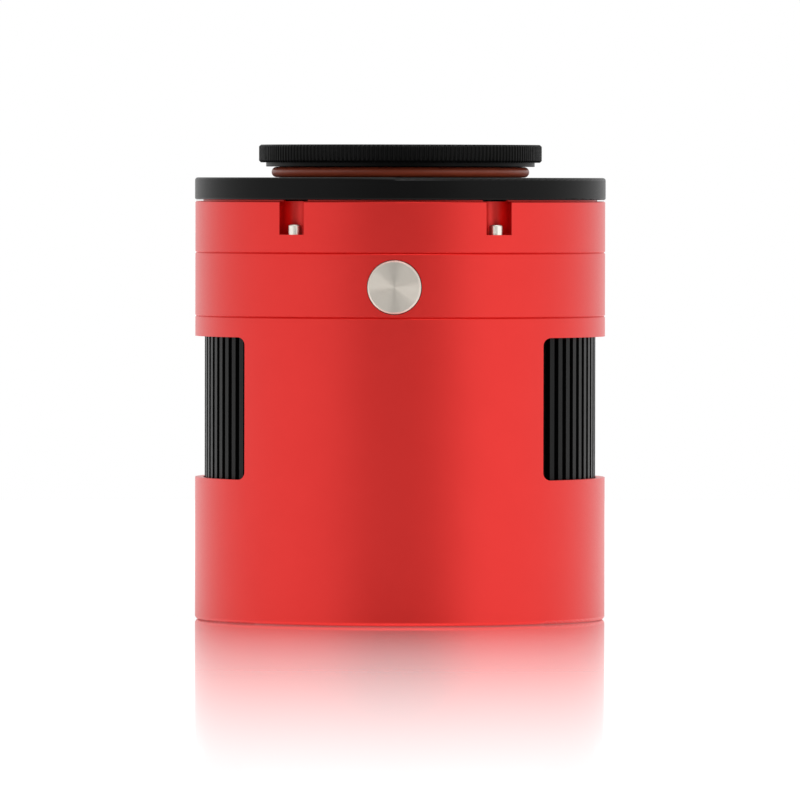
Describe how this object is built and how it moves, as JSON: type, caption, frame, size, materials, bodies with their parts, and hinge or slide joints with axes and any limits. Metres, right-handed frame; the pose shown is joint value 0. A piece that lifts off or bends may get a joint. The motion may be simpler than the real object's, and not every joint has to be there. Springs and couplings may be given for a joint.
{
  "type": "cooled deep-sky camera",
  "caption": "Cylindrical cooled astronomy camera with a finned heat sink behind side vents, a fan, a desiccant plug, a tilt plate and a screw-on dust cap.",
  "frame": {"origin": "centre of the rear face, on the optical axis", "axes": "+Z along the optical axis from the rear cover to the dust cap, -Y towards the desiccant plug"},
  "size_m": [0.0902, 0.0907, 0.1041],
  "materials": {
    "red_anodised_aluminium": "bead-blasted and anodised red, satin",
    "black_anodised_aluminium": "anodised black, satin",
    "stainless_steel": "turned",
    "black_steel": "black oxide",
    "brown_rubber": "moulded",
    "black_rubber": "moulded",
    "coated_glass": "polished, anti-reflection coated",
    "polyimide_film": "amber film",
    "green_board": "solder mask",
    "black_plastic": "moulded",
    "nickel_shell": "stamped and nickel plated",
    "blue_socket": "stamped and nickel plated",
    "brass_pillar": "turned",
    "nylon_pillar": "turned nylon",
    "ceramic_plate": "sintered alumina",
    "copper_block": "milled copper",
    "black_foam": "closed-cell foam",
    "silicon_die": "polished silicon",
    "desiccant": "pressed tablets"
  },
  "bodies": {
    "camera": {"rear_cover": "red_anodised_aluminium", "main_housing": "red_anodised_aluminium", "chamber_ring": "red_anodised_aluminium", "front_ring": "red_anodised_aluminium", "heat_sink": "black_anodised_aluminium", "window_retainer": "black_anodised_aluminium", "notch_screws": "stainless_steel", "ring_screws": "stainless_steel", "tie_screws": "stainless_steel", "fan_screws": "stainless_steel", "board_screws": "stainless_steel", "sensor_board_screws": "stainless_steel", "heat_sink_screws": "stainless_steel", "rear_cover_screws": "black_steel", "tilt_pull_screws": "black_steel", "tilt_push_screws": "black_steel", "ring_seal": "black_rubber", "sink_seal": "black_rubber", "window_gasket": "black_rubber", "window_glass": "coated_glass", "sensor_cover_glass": "coated_glass", "window_heater": "polyimide_film", "flex_cable": "polyimide_film", "port_board": "green_board", "main_board": "green_board", "sensor_board": "green_board", "fan_frame": "black_plastic", "flex_socket": "black_plastic", "chamber_connector": "black_plastic", "power_jack": "black_plastic", "board_chips": "black_plastic", "usb_b_port": "nickel_shell", "usb_a_ports": "blue_socket", "board_pillars": "brass_pillar", "board_spacers": "brass_pillar", "sensor_pillars": "nylon_pillar", "cooler_lower_stage": "ceramic_plate", "cooler_upper_stage": "ceramic_plate", "sensor_package": "ceramic_plate", "cold_finger": "copper_block", "cold_insulation": "black_foam", "sensor_die": "silicon_die", "desiccant_tablets": "desiccant"},
    "tilting_plate": {"front_plate": "black_anodised_aluminium"},
    "cap_seal_ring": {"cap_seal": "brown_rubber"},
    "cap": {"dust_cap": "black_anodised_aluminium"},
    "plug_seal_ring": {"plug_seal": "black_rubber"},
    "plug": {"desiccant_plug": "stainless_steel"},
    "fan": {"fan_rotor": "black_plastic"}
  },
  "joints": [
    {"name": "plate_tilt", "type": "hinge", "parent": "camera", "child": "tilting_plate", "pos_m": [0, -0.01875, 0.0918], "axis": [1, 0, 0], "range_deg": [-0.2, 0.2]},
    {"name": "cap_rise", "type": "slide", "parent": "tilting_plate", "child": "cap_seal_ring", "axis": [0, 0, 1], "range_m": [0, 0.00263]},
    {"name": "cap_turn", "type": "hinge", "parent": "cap_seal_ring", "child": "cap", "pos_m": [0, 0, 0.09695], "axis": [0, 0, 1], "range_deg": [0, 1260]},
    {"name": "plug_draw", "type": "slide", "parent": "camera", "child": "plug_seal_ring", "axis": [0, -1, 0], "range_m": [0, 0.003]},
    {"name": "plug_turn", "type": "hinge", "parent": "plug_seal_ring", "child": "plug", "pos_m": [0, -0.045, 0.07327], "axis": [0, -1, 0], "range_deg": [0, 1440]},
    {"name": "fan_spin", "type": "hinge", "parent": "camera", "child": "fan", "pos_m": [0, 0.007, 0.018], "axis": [0, 0, 1], "continuous": true}
  ],
  "couplings": [
    {"joint": "cap_rise", "follows": "cap_turn", "m_per_rad": 0.00011935},
    {"joint": "plug_turn", "follows": "plug_draw", "rad_per_m": 8376.7}
  ]
}
